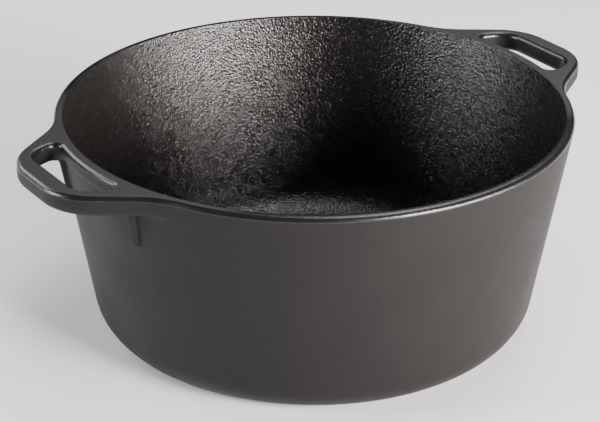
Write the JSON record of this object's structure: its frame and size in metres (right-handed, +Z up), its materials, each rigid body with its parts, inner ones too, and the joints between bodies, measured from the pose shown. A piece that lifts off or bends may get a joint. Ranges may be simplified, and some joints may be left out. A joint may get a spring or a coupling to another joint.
{
  "type": "dutch oven pot",
  "caption": "Deep round cast iron cooking pot with tapered walls, a flat base and loop handles cast level with the rim, for stove or oven, used with or without a lid.",
  "frame": {"origin": "centre of the flat underside", "axes": "+Z up through the open mouth, X through both handles, Y across"},
  "size_m": [0.3268, 0.2698, 0.1191],
  "materials": {
    "seasoned_iron": "black oil-seasoned sand casting: satin outside, glossier and pebbled inside, ground smooth on the rim and handle tops"
  },
  "bodies": {
    "root": {"pot_body": "seasoned_iron", "left_handle": "seasoned_iron", "right_handle": "seasoned_iron", "left_front_rib": "seasoned_iron", "left_rear_rib": "seasoned_iron", "right_front_rib": "seasoned_iron", "right_rear_rib": "seasoned_iron"}
  },
  "joints": []
}
